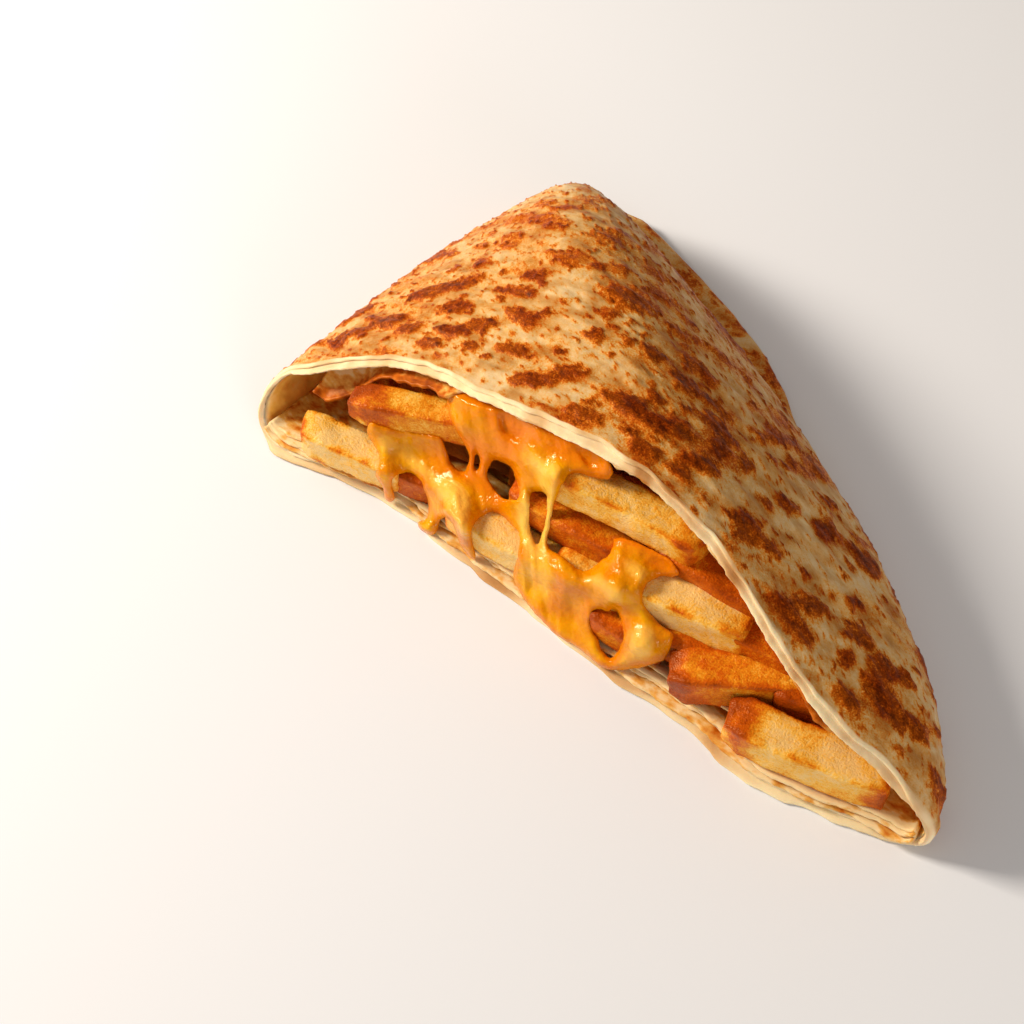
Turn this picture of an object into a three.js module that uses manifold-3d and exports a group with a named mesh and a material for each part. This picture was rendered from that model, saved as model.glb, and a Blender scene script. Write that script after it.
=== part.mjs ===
// One half of a toasted flatbread wrap, folded to a triangle and cut across, with chips and melted cheese inside.
// x runs along the cut, y from the cut back to the apex, z up. It lies on its flat underside. Millimetres.
import * as THREE from "three";
import { mergeVertices } from "three/addons/utils/BufferGeometryUtils.js";
import Module from "manifold-3d";

const wasm = await Module();
wasm.setup();
const { clamp, degToRad, smoothstep } = THREE.MathUtils;

// Driving dimensions of the wedge
const HALF = 95; // half the length of the cut
const DEPTH = 101.5; // from the cut to the apex
const PEAK_X = 6.5; // place of the highest point of the arch
const PEAK_Z = 47.4; // its height
const LEFT = { radius: 7.7, power: 2.1 }; // the closed fold, and how square the arch falls to it
const RIGHT = { radius: 7, power: 1.4 }; // the other end of the cut
const APEX_X = -77.5; // the apex lies almost straight behind the closed fold
const TIP_SHARE = 0.12; // width of the blunt tip, as a share of the cut
const TIP_SLANT = 3; // how much further back the tip's right corner lies
const RIGHT_BELLY = 20.5; // how far the long right side swells out
const WAVE = 0.8; // low swells of the top over the filling

// The cut slants: its top edge stands back from its bottom edge, except near the right end.
const SETBACK = { most: 13.8, least: -1, from: 18, to: 74 };
const SETBACK_BUMP = { x: -60, reach: 18, size: 6 }; // it stands back further over the left chips
const LOWER_BOW = 2; // the bottom edge bows out by this much, and by a little more or less at some places
const BOW_BUMPS = [
  { x: -84, reach: 14, size: 2.6 },
  { x: -53, reach: 18, size: -2.4 },
  { x: 16, reach: 28, size: 4 },
  { x: 59, reach: 21, size: 6.8 },
];

// Layers of the flatbread, and the clearance kept between pieces
const WRAP = 2;
const SHEET = 1.2;
const GAP = 0.3;
const SLIVER = 0.05; // edges shorter than this are merged after a cut
const CAVITY_END = 0.8; // where the filling stops, as a share of the depth
const FILLING_DEPTH = WRAP + SHEET + 2 * GAP;

// The lower leaf slides out from under the top one on the right of the apex.
const LEAF = { from: 0.6, full: 0.82, x: 4, y: 8, bottom: 1.2, thickness: 2.4 };

// Height of the arch above the underside at a place along the cut.
function archHeight(x) {
  const end = x < PEAK_X ? LEFT : RIGHT;
  const span = x < PEAK_X ? PEAK_X + HALF : HALF - PEAK_X;
  const away = clamp(Math.abs(x - PEAK_X) / span, 0, 1);
  return 2 * end.radius + (PEAK_Z - 2 * end.radius) * (1 - away ** end.power);
}

// A bump's height at a place along the cut.
const bump = (x, { x: middle, reach, size }) => size * Math.exp(-(((x - middle) / reach) ** 2));

// How far the cut stands back at a place (x, z) on it; negative is out in front.
function cutFace(x, z) {
  const slant = SETBACK.most + (SETBACK.least - SETBACK.most) * smoothstep(x, SETBACK.from, SETBACK.to);
  const top = slant + bump(x, SETBACK_BUMP);
  const bow = BOW_BUMPS.reduce((sum, each) => sum + bump(x, each), LOWER_BOW);
  return top * clamp(z / (0.9 * PEAK_Z), 0, 1.1) - bow * clamp(1 - z / 20, 0, 1);
}

const narrowing = (v) => (1 - TIP_SHARE) * (1 - v ** 1.12) ** 0.93 + TIP_SHARE * Math.sqrt(1 - v ** 10);
const flattening = (v) => (1 - v ** 3.2) ** 0.45;

// Carries a point (x, z) of the cut back towards the apex; v is 0 at the cut and 1 at the apex.
function loft(x, z, v) {
  const back = Math.max(v, 0);
  const swell = RIGHT_BELLY * clamp(x / HALF, 0, 1) * Math.sin(Math.PI * back ** 0.9);
  const wave = WAVE * (z / PEAK_Z) * Math.sin(x / 13 + 5 * back) * Math.sin(Math.PI * back);
  return new THREE.Vector3(
    APEX_X + (x - APEX_X) * narrowing(back) + swell,
    DEPTH * v + cutFace(x, z) * (1 - back) ** 2 + TIP_SLANT * back ** 3 * (x / HALF),
    (z + wave) * flattening(back),
  );
}

// The lower or upper half of the cut's outline, moved inwards by depth, as points carried back to v.
function chain(half, depth, v, steps) {
  const back = Math.max(v, 0);
  const dx = depth / narrowing(back);
  const dz = depth / flattening(back);
  const points = [];
  for (let i = 0; i <= steps; i++) {
    const x = -(HALF - dx) * Math.cos((Math.PI * i) / steps);
    const radius = Math.max((x < 0 ? LEFT : RIGHT).radius - dz, 1.5);
    const round = clamp((Math.abs(x) - (HALF - dx - radius)) / radius, 0, 1);
    const rise = Math.sqrt(1 - round * round);
    const low = dz + radius * (1 - rise);
    const high = dz + radius + Math.max(archHeight(x) - 2 * dz - radius, 0.5) * rise;
    points.push(loft(x, half === "lower" ? low : high, v));
  }
  return points;
}

// A closed mesh through pairs of chains, one pair for each value of v.
function loftSolid(values, chainsAt) {
  const rings = values.map((v) => {
    const [under, over] = chainsAt(v);
    return [...under, ...over.reverse()];
  });
  const around = rings[0].length;
  const indices = [];
  const quad = (a, b, c, d) => indices.push(a, b, c, a, c, d);
  for (let r = 0; r < rings.length - 1; r++) {
    for (let i = 0; i < around; i++) {
      const j = (i + 1) % around;
      quad(r * around + i, (r + 1) * around + i, (r + 1) * around + j, r * around + j);
    }
  }
  const last = (rings.length - 1) * around;
  for (let i = 0; i < around / 2 - 1; i++) {
    quad(i, i + 1, around - 2 - i, around - 1 - i);
    quad(last + i, last + around - 1 - i, last + around - 2 - i, last + i + 1);
  }
  const geometry = new THREE.BufferGeometry().setFromPoints(rings.flat());
  geometry.setIndex(indices);
  return toSolid(geometry);
}

// A three.js geometry as a manifold-3d solid, and back.
function toSolid(geometry) {
  const bare = geometry.clone();
  bare.deleteAttribute("normal");
  bare.deleteAttribute("uv");
  const merged = mergeVertices(bare, 1e-4);
  const corners = merged.index.array;
  const triangles = [];
  for (let i = 0; i < corners.length; i += 3) {
    const [a, b, c] = corners.slice(i, i + 3);
    if (a !== b && b !== c && c !== a) triangles.push(a, b, c);
  }
  const vertProperties = merged.getAttribute("position").array;
  const triVerts = new Uint32Array(triangles);
  return new wasm.Manifold(new wasm.Mesh({ numProp: 3, vertProperties, triVerts }));
}

function toGeometry(solid) {
  const mesh = solid.getMesh();
  const geometry = new THREE.BufferGeometry();
  geometry.setAttribute("position", new THREE.BufferAttribute(mesh.vertProperties, 3));
  geometry.setIndex(new THREE.BufferAttribute(mesh.triVerts, 1));
  geometry.computeVertexNormals();
  return geometry;
}

const union = (solids) => solids.reduce((all, one) => all.add(one));

// The largest body of a solid, without the slivers that cutting leaves.
function largestBody(solid) {
  const largest = solid.decompose().reduce((best, one) => (one.volume() > best.volume() ? one : best));
  return largest.simplify(SLIVER);
}

// Values of v from 0 to end, closer together towards the apex. All that lies inside the wrap shares one
// set of them, and one number of points along the cut, so that neighbours stay parallel.
function shares(end, count) {
  return Array.from({ length: count + 1 }, (_, i) => end * (1 - (1 - i / count) ** 1.3));
}
const INNER_SHARES = shares(CAVITY_END, 8);
const INNER_POINTS = 20;

const body = (depth, values, points = INNER_POINTS) =>
  loftSolid(values, (v) => [chain("lower", depth, v, points), chain("upper", depth, v, points)]);

// A sheet of flatbread inside the lower or upper half of the wrap, with some points left off at each end.
function sheet(half, leftOff) {
  return loftSolid(INNER_SHARES.slice(0, -1), (v) => {
    const layers = [WRAP + GAP, WRAP + GAP + SHEET].map((depth) =>
      chain(half, depth, v, INNER_POINTS).slice(leftOff, -leftOff),
    );
    return half === "lower" ? layers : layers.reverse();
  });
}

// The outer wrap: a shell open at the cut, with the lower leaf sliding out beside the apex.
function lowerLeaf() {
  const outline = new THREE.Shape();
  const corner = (x, v) => {
    const out = smoothstep(v, LEAF.from, LEAF.full);
    const at = loft(x, 0, v);
    return [at.x + LEAF.x * out, at.y + LEAF.y * out];
  };
  const inside = loft(-HALF / 2, 0, LEAF.from);
  outline.moveTo(inside.x, inside.y);
  for (let v = LEAF.from; v < 0.975; v += 0.04) outline.lineTo(...corner(HALF, v));
  outline.lineTo(...corner(HALF * 0.4, 0.985));
  outline.lineTo(...corner(-HALF * 0.6, 0.985));
  outline.closePath();
  const leaf = new THREE.ExtrudeGeometry(outline, { depth: LEAF.thickness, bevelEnabled: false });
  return toSolid(leaf.translate(0, 0, LEAF.bottom));
}

const outside = body(0, shares(0.992, 14), 28);
const hollow = (depth) => body(depth, [-0.3, ...INNER_SHARES]);
const wrap = outside.add(lowerLeaf()).subtract(hollow(WRAP));

const topSheet = sheet("upper", 1);
const bottomSheet = sheet("lower", 4);

// Chips at the cut: centre, length and thickness, and the turn from the cut's direction in degrees.
const CHIPS = [
  { at: [-48.7, 12.2, 25.8], size: [38, 7.8], yaw: 20, pitch: 4 },
  { at: [-60, 2.8, 9.9], size: [38, 8.4], yaw: 9, pitch: 0 },
  { at: [-18, 3, 11.2], size: [35, 8.2], yaw: 3, pitch: 0 },
  { at: [-5, 10.8, 20.5], size: [35, 8.6], yaw: 3, pitch: 0 },
  { at: [6.6, 15.3, 31.4], size: [36, 8.6], yaw: 6, pitch: -4 },
  { at: [23.8, 8.4, 19.2], size: [31, 8.6], yaw: 10, pitch: 0 },
  { at: [4.5, 4.6, 13.6], size: [21, 8.5], yaw: 7, pitch: 2 },
  { at: [46.5, 6.3, 12], size: [29, 9.2], yaw: 29, pitch: 4 },
  { at: [65.5, -0.4, 9.4], size: [32, 9.6], yaw: 12, pitch: -1 },
  { at: [28.2, 16.2, 23], size: [30, 8.6], yaw: 4, pitch: -4 },
  { at: [42.5, 11.5, 17.3], size: [22, 8.6], yaw: 6, pitch: -3 },
  { at: [62.5, 5.5, 13], size: [25, 8.6], yaw: 14, pitch: -3 },
  { at: [16.5, 0.8, 9.2], size: [19, 8.5], yaw: 5, pitch: 0 },
];
const CHIP_CHAMFER = 0.15; // of the thickness
const CORE_START = 0.045; // the chips' mass behind the cut starts here

function chip({ at, size: [length, thickness], yaw, pitch }) {
  const half = thickness / 2;
  const flat = half - thickness * CHIP_CHAMFER;
  const section = new THREE.Shape();
  section.moveTo(flat, -half).lineTo(half, -flat).lineTo(half, flat).lineTo(flat, half);
  section.lineTo(-flat, half).lineTo(-half, flat).lineTo(-half, -flat).lineTo(-flat, -half);
  const stick = new THREE.ExtrudeGeometry(section, { depth: length, bevelEnabled: false });
  stick.translate(0, 0, -length / 2).rotateY(Math.PI / 2);
  const turn = new THREE.Euler(0, -degToRad(pitch), degToRad(yaw), "ZYX");
  stick.applyMatrix4(new THREE.Matrix4().makeRotationFromEuler(turn));
  return toSolid(stick.translate(...at));
}

// Melted cheese: rounded lobes that run together, each with its centre and its half sizes.
const CHEESE = [
  { at: [-40, 12, 34], half: [10, 6, 5] }, // over the upper left chip
  { at: [-28, 13, 36], half: [10, 7, 6] },
  { at: [-16, 13, 38], half: [9, 6, 5] },
  { at: [-32, 9.5, 28], half: [6, 5, 9] }, // neck between the two
  { at: [-52, 5.5, 18], half: [11, 6, 4.5] }, // over the lower left chip
  { at: [-41, 4.5, 15], half: [9, 6, 7] },
  { at: [-40, 0.5, 7], half: [4, 3.5, 6] }, // first drip
  { at: [-27, 3.5, 15], half: [9, 6, 9] }, // middle
  { at: [-27, -1, 5], half: [3.5, 3, 4] },
  { at: [-15, 1.5, 11], half: [5, 5, 8] },
  { at: [-18, 11, 34], half: [8, 6, 6] }, // behind the strings
  { at: [-6, 12.5, 37], half: [9, 5, 4] },
  { at: [-16, 6, 22], half: [2.8, 3, 13] }, // strings
  { at: [-7, 2, 9.5], half: [9, 5, 6] }, // lower sheet
  { at: [4, 2.5, 10.5], half: [8, 5, 6] },
  { at: [1.5, -1.5, 4.5], half: [3, 3, 4] },
  { at: [8.5, -1.5, 4], half: [3, 3, 4] },
  { at: [9, 6, 20], half: [7, 5, 7] }, // over the right-hand chips
  { at: [18, 8.5, 26], half: [8, 5, 5] },
  { at: [18, 4, 15], half: [6, 5, 6] },
  { at: [19, 0, 7], half: [4, 3.5, 5] },
];

const lobes = (grow) =>
  union(
    CHEESE.map(({ at, half }) => {
      const lobe = new THREE.IcosahedronGeometry(1, 1).scale(...half.map((r) => r + grow));
      return toSolid(lobe.translate(...at));
    }),
  );

// Everything the filling must keep clear of: the wrap with its sheets, a gap larger all round.
const bread = body(-GAP, [-GAP / DEPTH, ...shares(0.99, 12)]).subtract(hollow(FILLING_DEPTH));

const core = body(FILLING_DEPTH + GAP, [CORE_START, ...INNER_SHARES.slice(1, -2)]);
const chips = union([core, ...CHIPS.map(chip)]);
const filling = largestBody(chips.subtract(bread).subtract(lobes(GAP)));
const cheese = largestBody(lobes(0).subtract(bread));

// The finished pieces
const part = new THREE.Group();

function addPiece(name, solid, color, roughness) {
  const material = new THREE.MeshStandardMaterial({ color, roughness, metalness: 0 });
  const mesh = new THREE.Mesh(toGeometry(solid), material);
  mesh.name = name;
  part.add(mesh);
}

addPiece("outer_wrap", wrap, "#d9a866", 0.6);
addPiece("inner_top_sheet", topSheet, "#e3bd7c", 0.6);
addPiece("inner_bottom_sheet", bottomSheet, "#dcb984", 0.6);
addPiece("chip_filling", filling, "#e0a545", 0.55);
addPiece("melted_cheese", cheese, "#f2a31b", 0.3);

// The origin is the middle of the bounding box's bottom face; every solid already stands on z = 0 or above it.
const middle = new THREE.Box3().setFromObject(part).getCenter(new THREE.Vector3());
part.position.set(-middle.x, -middle.y, 0);

export default part;
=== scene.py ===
"""One half of a toasted flatbread wrap with chips and melted cheese.

It is cut across and lies on its flat underside, with the cut to the front.
"""
import math
import random

import bmesh
import bpy
import numpy as np
from mathutils import Euler, Matrix, Vector, noise
from mathutils.bvhtree import BVHTree


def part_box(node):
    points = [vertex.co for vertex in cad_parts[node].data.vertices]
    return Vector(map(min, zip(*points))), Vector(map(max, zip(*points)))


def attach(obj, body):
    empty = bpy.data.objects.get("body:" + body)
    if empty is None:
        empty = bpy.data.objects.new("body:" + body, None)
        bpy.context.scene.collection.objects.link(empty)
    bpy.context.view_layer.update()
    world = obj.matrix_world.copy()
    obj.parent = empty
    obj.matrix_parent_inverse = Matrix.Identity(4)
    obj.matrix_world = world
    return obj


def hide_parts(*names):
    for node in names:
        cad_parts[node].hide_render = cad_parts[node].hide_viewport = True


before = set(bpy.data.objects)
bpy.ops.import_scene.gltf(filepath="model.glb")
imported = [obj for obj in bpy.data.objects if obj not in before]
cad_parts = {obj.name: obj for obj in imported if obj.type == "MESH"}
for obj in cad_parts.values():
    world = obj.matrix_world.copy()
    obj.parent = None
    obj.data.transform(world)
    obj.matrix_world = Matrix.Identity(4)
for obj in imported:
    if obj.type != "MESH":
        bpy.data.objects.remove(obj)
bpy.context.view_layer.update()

# ---------------------------------------------------------------- driving dimensions, in millimetres
# x runs along the cut, y from the cut back to the apex, z up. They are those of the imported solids.
MM = 0.001
HALF = 95.0  # half the length of the cut
DEPTH = 101.5  # from the cut to the apex
PEAK_X, PEAK_Z = 6.5, 47.4  # the highest point of the arch
LEFT_RADIUS, LEFT_POWER = 7.7, 2.1  # the closed fold, and how square the arch falls to it
RIGHT_RADIUS, RIGHT_POWER = 7.0, 1.4
APEX_X = -77.5
TIP_SHARE = 0.12  # how much of the cut's width is left in the blunt tip
TIP_SLANT = 3.0  # how far the tip's right end lies back, and its left end forward
RIGHT_BELLY = 20.5  # how far the right side swells out between the cut and the apex
WAVE = 0.8  # height of the slow waves over the top
SETBACK_MOST, SETBACK_LEAST = 13.8, -1.0  # how far the cut's top edge stands back, on the left and right
SETBACK_FROM, SETBACK_TO = 18.0, 74.0  # between these places it goes from the one to the other
SETBACK_BUMP = (-60.0, 18.0, 6.0)  # it stands back further over the left chips: place, reach and size
SETBACK_FULL = 0.9 * PEAK_Z  # the height at which the setback is reached
LOWER_BOW = 2.0  # how far the cut's bottom edge bows out, and a little more or less at some places
BOW_BUMPS = [(-84.0, 14.0, 2.6), (-53.0, 18.0, -2.4), (16.0, 28.0, 4.0), (59.0, 21.0, 6.8)]
BOW_HEIGHT = 20.0  # the height at which the bow ends

WRAP = 2.0  # thickness of the folded flatbread
SHEET = 1.0  # thickness of the sheet of flatbread inside it
GAP = 0.3  # between the two

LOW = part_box("outer_wrap")[0] / MM


# ---------------------------------------------------------------- number helpers
def smoothstep(value, low, high):
    """0 up to low, 1 from high on, and a smooth rise between them."""
    t = np.clip((value - low) / (high - low), 0, 1)
    return t * t * (3 - 2 * t)


def bump(x, at, reach, size):
    """A smooth swelling of the given size around one place along a line."""
    return size * np.exp(-(((x - at) / reach) ** 2))


def round_bump(x, z, at, reach):
    """A smooth swelling of size 1 around one place on the cut."""
    return np.exp(-(((x - at[0]) / reach[0]) ** 2) - ((z - at[1]) / reach[1]) ** 2)


def ruffle(points, size, octaves=2, seed=0.0):
    """Smooth noise from about -1 to 1 at each point; size is how far apart its lumps are."""
    spread = points / np.asarray(size, float) + seed * 17.31
    return np.array([noise.fractal(Vector(p), 1.0, 2.0, octaves) for p in spread])


# ---------------------------------------------------------------- the wedge's shape
def arch_height(x):
    """Height of the arch above the underside at a place along the cut."""
    left = x < PEAK_X
    span = np.where(left, PEAK_X + HALF, HALF - PEAK_X)
    foot = 2 * np.where(left, LEFT_RADIUS, RIGHT_RADIUS)
    away = np.clip(np.abs(x - PEAK_X) / span, 0, 1)
    return foot + (PEAK_Z - foot) * (1 - away ** np.where(left, LEFT_POWER, RIGHT_POWER))


def cut_face(x, z):
    """How far the cut stands back at a place on it; negative is out in front."""
    slant = SETBACK_MOST + (SETBACK_LEAST - SETBACK_MOST) * smoothstep(x, SETBACK_FROM, SETBACK_TO)
    top = slant + bump(x, *SETBACK_BUMP)
    bow = LOWER_BOW + sum(bump(x, *each) for each in BOW_BUMPS)
    return top * np.clip(z / SETBACK_FULL, 0, 1.1) - bow * np.clip(1 - z / BOW_HEIGHT, 0, 1)


def narrowing(v):
    """How wide the wedge still is at v, as a share of the cut: nearly straight, to a blunt round tip."""
    return (1 - TIP_SHARE) * (1 - v**1.12) ** 0.93 + TIP_SHARE * np.sqrt(1 - v**10)


def flattening(v):
    """How high it still is at v, as a share of the cut: it falls late, and round, to the apex."""
    return (1 - v**3.2) ** 0.45


def loft(x, z, v):
    """Carries points (x, z) of the cut back towards the apex; v is 0 at the cut and 1 at the apex."""
    back = np.clip(v, 0, 1)
    swell = RIGHT_BELLY * np.clip(x / HALF, 0, 1) * np.sin(np.pi * back**0.9)
    wave = WAVE * (z / PEAK_Z) * np.sin(x / 13 + 5 * back) * np.sin(np.pi * back)
    return np.stack(
        [
            APEX_X + (x - APEX_X) * narrowing(back) + swell,
            DEPTH * v + cut_face(x, z) * (1 - back) ** 2 + TIP_SLANT * back**3 * (x / HALF),
            (z + wave) * flattening(back),
        ],
        axis=-1,
    )


def outline(angle, upper, depth, v):
    """Points of the cut's outline, moved inwards by depth and carried back to v."""
    back = np.clip(v, 0, 1)
    dx = depth / narrowing(back)
    dz = depth / flattening(back)
    x = -(HALF - dx) * np.cos(angle)
    radius = np.maximum(np.where(x < 0, LEFT_RADIUS, RIGHT_RADIUS) - dz, 1.5)
    along = np.clip((np.abs(x) - (HALF - dx - radius)) / radius, 0, 1)
    rise = np.sqrt(1 - along**2)
    low = dz + radius * (1 - rise)
    high = dz + radius + np.maximum(arch_height(x) - 2 * dz - radius, 0.5) * rise
    return loft(x, np.where(upper, high, low), v)


def even_angles(upper, step, start=0.0, end=math.pi):
    """Angles along one half of the outline, spaced evenly in millimetres."""
    fine = np.linspace(start, end, 3000)
    points = outline(fine, upper, 0, 0)
    length = np.concatenate([[0], np.cumsum(np.linalg.norm(np.diff(points, axis=0), axis=1))])
    count = max(int(length[-1] / step), 2)
    return np.interp(np.linspace(0, length[-1], count + 1), length, fine)


def around(lower_step, upper_step):
    """Angles once round the outline, along the underside and back over the top, and which are on top."""
    lower = even_angles(False, lower_step)
    upper = even_angles(True, upper_step)[::-1][1:]
    return np.concatenate([lower, upper]), np.arange(len(lower) + len(upper)) >= len(lower)


# The solids' origin is the middle of their box; this puts the wedge's own x and y there.
foot_line = np.linspace(-HALF, HALF, 4001)
ORIGIN = np.array([LOW.x + HALF, LOW.y - cut_face(foot_line, 0).min(), 0])


# ---------------------------------------------------------------- mesh helpers
def positions(mesh, what="co"):
    """Each vertex's place, as rows of x, y and z."""
    flat = np.empty(len(mesh.vertices) * 3)
    mesh.vertices.foreach_get(what, flat)
    return flat.reshape(-1, 3)


def normals(mesh):
    """The way each vertex faces."""
    mesh.update()
    return positions(mesh, "normal")


def move_to(mesh, points):
    mesh.vertices.foreach_set("co", np.ascontiguousarray(points, dtype=np.float64).ravel())
    mesh.update()


def paint(mesh, name, values):
    """Stores one number for each vertex, for the material to read."""
    layer = mesh.attributes.get(name) or mesh.attributes.new(name, "FLOAT", "POINT")
    layer.data.foreach_set("value", np.ascontiguousarray(values, dtype=np.float32))


def painted(mesh, name):
    values = np.empty(len(mesh.vertices), np.float32)
    mesh.attributes[name].data.foreach_get("value", values)
    return values


def mesh_of(bm, name):
    """Makes a mesh of a bmesh and closes the bmesh."""
    mesh = bpy.data.meshes.new(name)
    bm.to_mesh(mesh)
    bm.free()
    return mesh


def grid(columns, rows):
    """A flat sheet of quads as a mesh, and each vertex's column and row number."""
    bm = bmesh.new()
    bmesh.ops.create_grid(bm, x_segments=columns, y_segments=rows, size=0.5)
    mesh = mesh_of(bm, "sheet")
    flat = positions(mesh) + 0.5
    column = np.rint(flat[:, 0] * columns).astype(int)
    row = np.rint(flat[:, 1] * rows).astype(int)
    return mesh, column, row


def tidy_mesh(mesh, weld=0.01, thickness=0.0):
    """Merges doubled vertices, turns the faces outwards and gives a thin sheet its thickness."""
    bm = bmesh.new()
    bm.from_mesh(mesh)
    bmesh.ops.remove_doubles(bm, verts=bm.verts, dist=weld)
    bmesh.ops.dissolve_degenerate(bm, edges=bm.edges, dist=weld / 10)
    bmesh.ops.recalc_face_normals(bm, faces=bm.faces)
    if thickness:
        bmesh.ops.solidify(bm, geom=bm.faces, thickness=thickness)
        bmesh.ops.recalc_face_normals(bm, faces=bm.faces)
    bm.to_mesh(mesh)
    bm.free()
    return mesh


def join_meshes(meshes, name):
    bm = bmesh.new()
    for mesh in meshes:
        bm.from_mesh(mesh)
    return mesh_of(bm, name)


def place(name, data):
    """Puts a mesh, a camera or a lamp into the scene."""
    made = bpy.data.objects.new(name, data)
    bpy.context.scene.collection.objects.link(made)
    return made


def piece(name, mesh, material, slot, *nodes):
    """Makes a finished piece, moved from the wedge's own millimetres to the frame."""
    mesh.transform(Matrix.Translation(Vector(ORIGIN) * MM) @ Matrix.Scale(MM, 4))
    mesh.shade_smooth()
    mesh.materials.clear()
    mesh.materials.append(material)
    mesh.name = name
    made = place(name, mesh)
    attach(made, "root")
    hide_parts(*nodes)


# ---------------------------------------------------------------- material helpers
def linear(colour):
    """A #rrggbb colour as linear RGBA."""
    parts = [int(colour[i : i + 2], 16) / 255 for i in (1, 3, 5)]
    return (*(c / 12.92 if c <= 0.04045 else ((c + 0.055) / 1.055) ** 2.4 for c in parts), 1.0)


def add(tree, kind, inputs=None, stops=(), out=0, **settings):
    """Adds a node with its settings and links, and gives back one of its outputs.

    The inputs are values or other nodes' outputs, and the stops are the places and colours of a ramp.
    """
    made = tree.nodes.new("ShaderNode" + kind)
    for name, value in settings.items():
        setattr(made, name, value)
    for key, value in (inputs or {}).items():
        if isinstance(value, bpy.types.NodeSocket):
            tree.links.new(value, made.inputs[key])
        else:
            made.inputs[key].default_value = value
    for _ in stops[2:]:
        made.color_ramp.elements.new(0.5)
    for number, (at, colour) in enumerate(stops):
        element = made.color_ramp.elements[number]
        element.position = at
        element.color = linear(colour)
    return made.outputs[out]


def food_material(name, **shader):
    """A new material: its node tree, its shader and the object's own coordinates."""
    material = bpy.data.materials.new(name)
    material.use_nodes = True
    tree = material.node_tree
    surface = tree.nodes["Principled BSDF"]
    for key, value in shader.items():
        surface.inputs[key.replace("_", " ")].default_value = value
    return material, tree, surface, add(tree, "TexCoord", out="Object")


def speckle(tree, where, size, detail=2.0, stretch=(1, 1, 1)):
    """Noise with lumps of the given size in mm, from 0 to 1."""
    scaled = add(tree, "Mapping", {"Vector": where, "Scale": stretch})
    lumps = {"Vector": scaled, "Scale": 1 / (size * MM), "Detail": detail}
    return add(tree, "TexNoise", lumps, out="Fac")


def dented(tree, surface, *layers):
    """Gives the surface fine dents: each layer is its pattern, its strength and its depth in mm."""
    below = {}
    for pattern, strength, depth in layers:
        inputs = {"Height": pattern, "Strength": strength, "Distance": depth * MM, **below}
        below = {"Normal": add(tree, "Bump", inputs)}
    tree.links.new(below["Normal"], surface.inputs["Normal"])


# ---------------------------------------------------------------- materials
# Sizes of patterns are in mm. Flour and frying bubbles are a tenth or two of a millimetre across, which is
# too fine to show, so the finest speckle of the bread and of the chips is drawn two to three times coarser.
# A mix of colours takes its share at input 0 and the colours at 6 and 7, and gives them back at output 2.
COLOURS = {"data_type": "RGBA", "out": 2}
BREAD_GLOW = (1.0, 0.45, 0.2)  # how far red, green and blue light go in, against one another
POTATO_GLOW = (1.0, 0.5, 0.15)
CHEESE_GLOW = (1.0, 0.55, 0.08)


def toasted_flatbread():
    """Wheat flatbread toasted dry on a flat pan.

    It is matt and floury, with brown grainy blisters and golden rims. At the cut its raw layers show.
    """
    material, tree, surface, where = food_material(
        "toasted_flatbread", Roughness=0.44, IOR=1.2, Specular_IOR_Level=0.5, Subsurface_Weight=0.2,
        Subsurface_Scale=0.003, Subsurface_Radius=BREAD_GLOW, Specular_Tint=linear("#ffcf96"),
    )
    toast, cut, inner, layers = (
        add(tree, "Attribute", out="Fac", attribute_name=name)
        for name in ("toast", "cut", "inner", "layers")
    )
    pores = speckle(tree, where, 1.2, 3.0)
    flour = speckle(tree, where, 0.4, 2.0)
    both = add(tree, "Math", {0: pores, 1: 0.8, 2: flour}, operation="MULTIPLY_ADD")
    uneven = add(tree, "Math", {0: both, 1: 0.9}, operation="SUBTRACT")
    much = add(tree, "Math", {0: toast, 1: 1.5, 2: 0.15}, operation="MULTIPLY_ADD")
    grainy = add(tree, "Math", {0: uneven, 1: much, 2: toast}, operation="MULTIPLY_ADD")
    brown = [
        (0.0, "#dabd90"), (0.13, "#d6a662"), (0.23, "#d2842b"),
        (0.33, "#c25f0e"), (0.52, "#934004"), (0.95, "#5c2000"),
    ]
    browned = add(tree, "ValToRGB", {0: grainy}, brown)
    patches = speckle(tree, where, 5.0, 3.0, (0.6, 1.0, 1.0))
    floury = [(0.34, "#d8b78c"), (0.46, "#f0dfc4"), (0.55, "#ffffff"), (0.72, "#ffffff")]
    dough = add(tree, "ValToRGB", {0: patches}, floury)
    wheaten = [(0.15, "#a86c30"), (0.42, "#d8b484"), (0.75, "#eed8b0")]
    raw = add(tree, "ValToRGB", {0: layers}, wheaten)
    # The inside near the cut is bright yellow: partly oily bread, and partly painted light for light
    # shining through the thin wall.
    oily = [(0.35, "#e0a040"), (0.55, "#f2c25a"), (0.7, "#f8d684")]
    amber = add(tree, "ValToRGB", {0: patches}, oily)
    crust = {0: 1.0, 6: browned, 7: dough}
    outside = add(tree, "Mix", crust, blend_type="MULTIPLY", **COLOURS)
    with_lip = add(tree, "Mix", {0: cut, 6: outside, 7: raw}, **COLOURS)
    colour = add(tree, "Mix", {0: inner, 6: with_lip, 7: amber}, **COLOURS)
    tree.links.new(colour, surface.inputs["Base Color"])
    dented(tree, surface, (pores, 0.35, 0.25), (flour, 0.5, 0.15))
    return material


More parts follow.
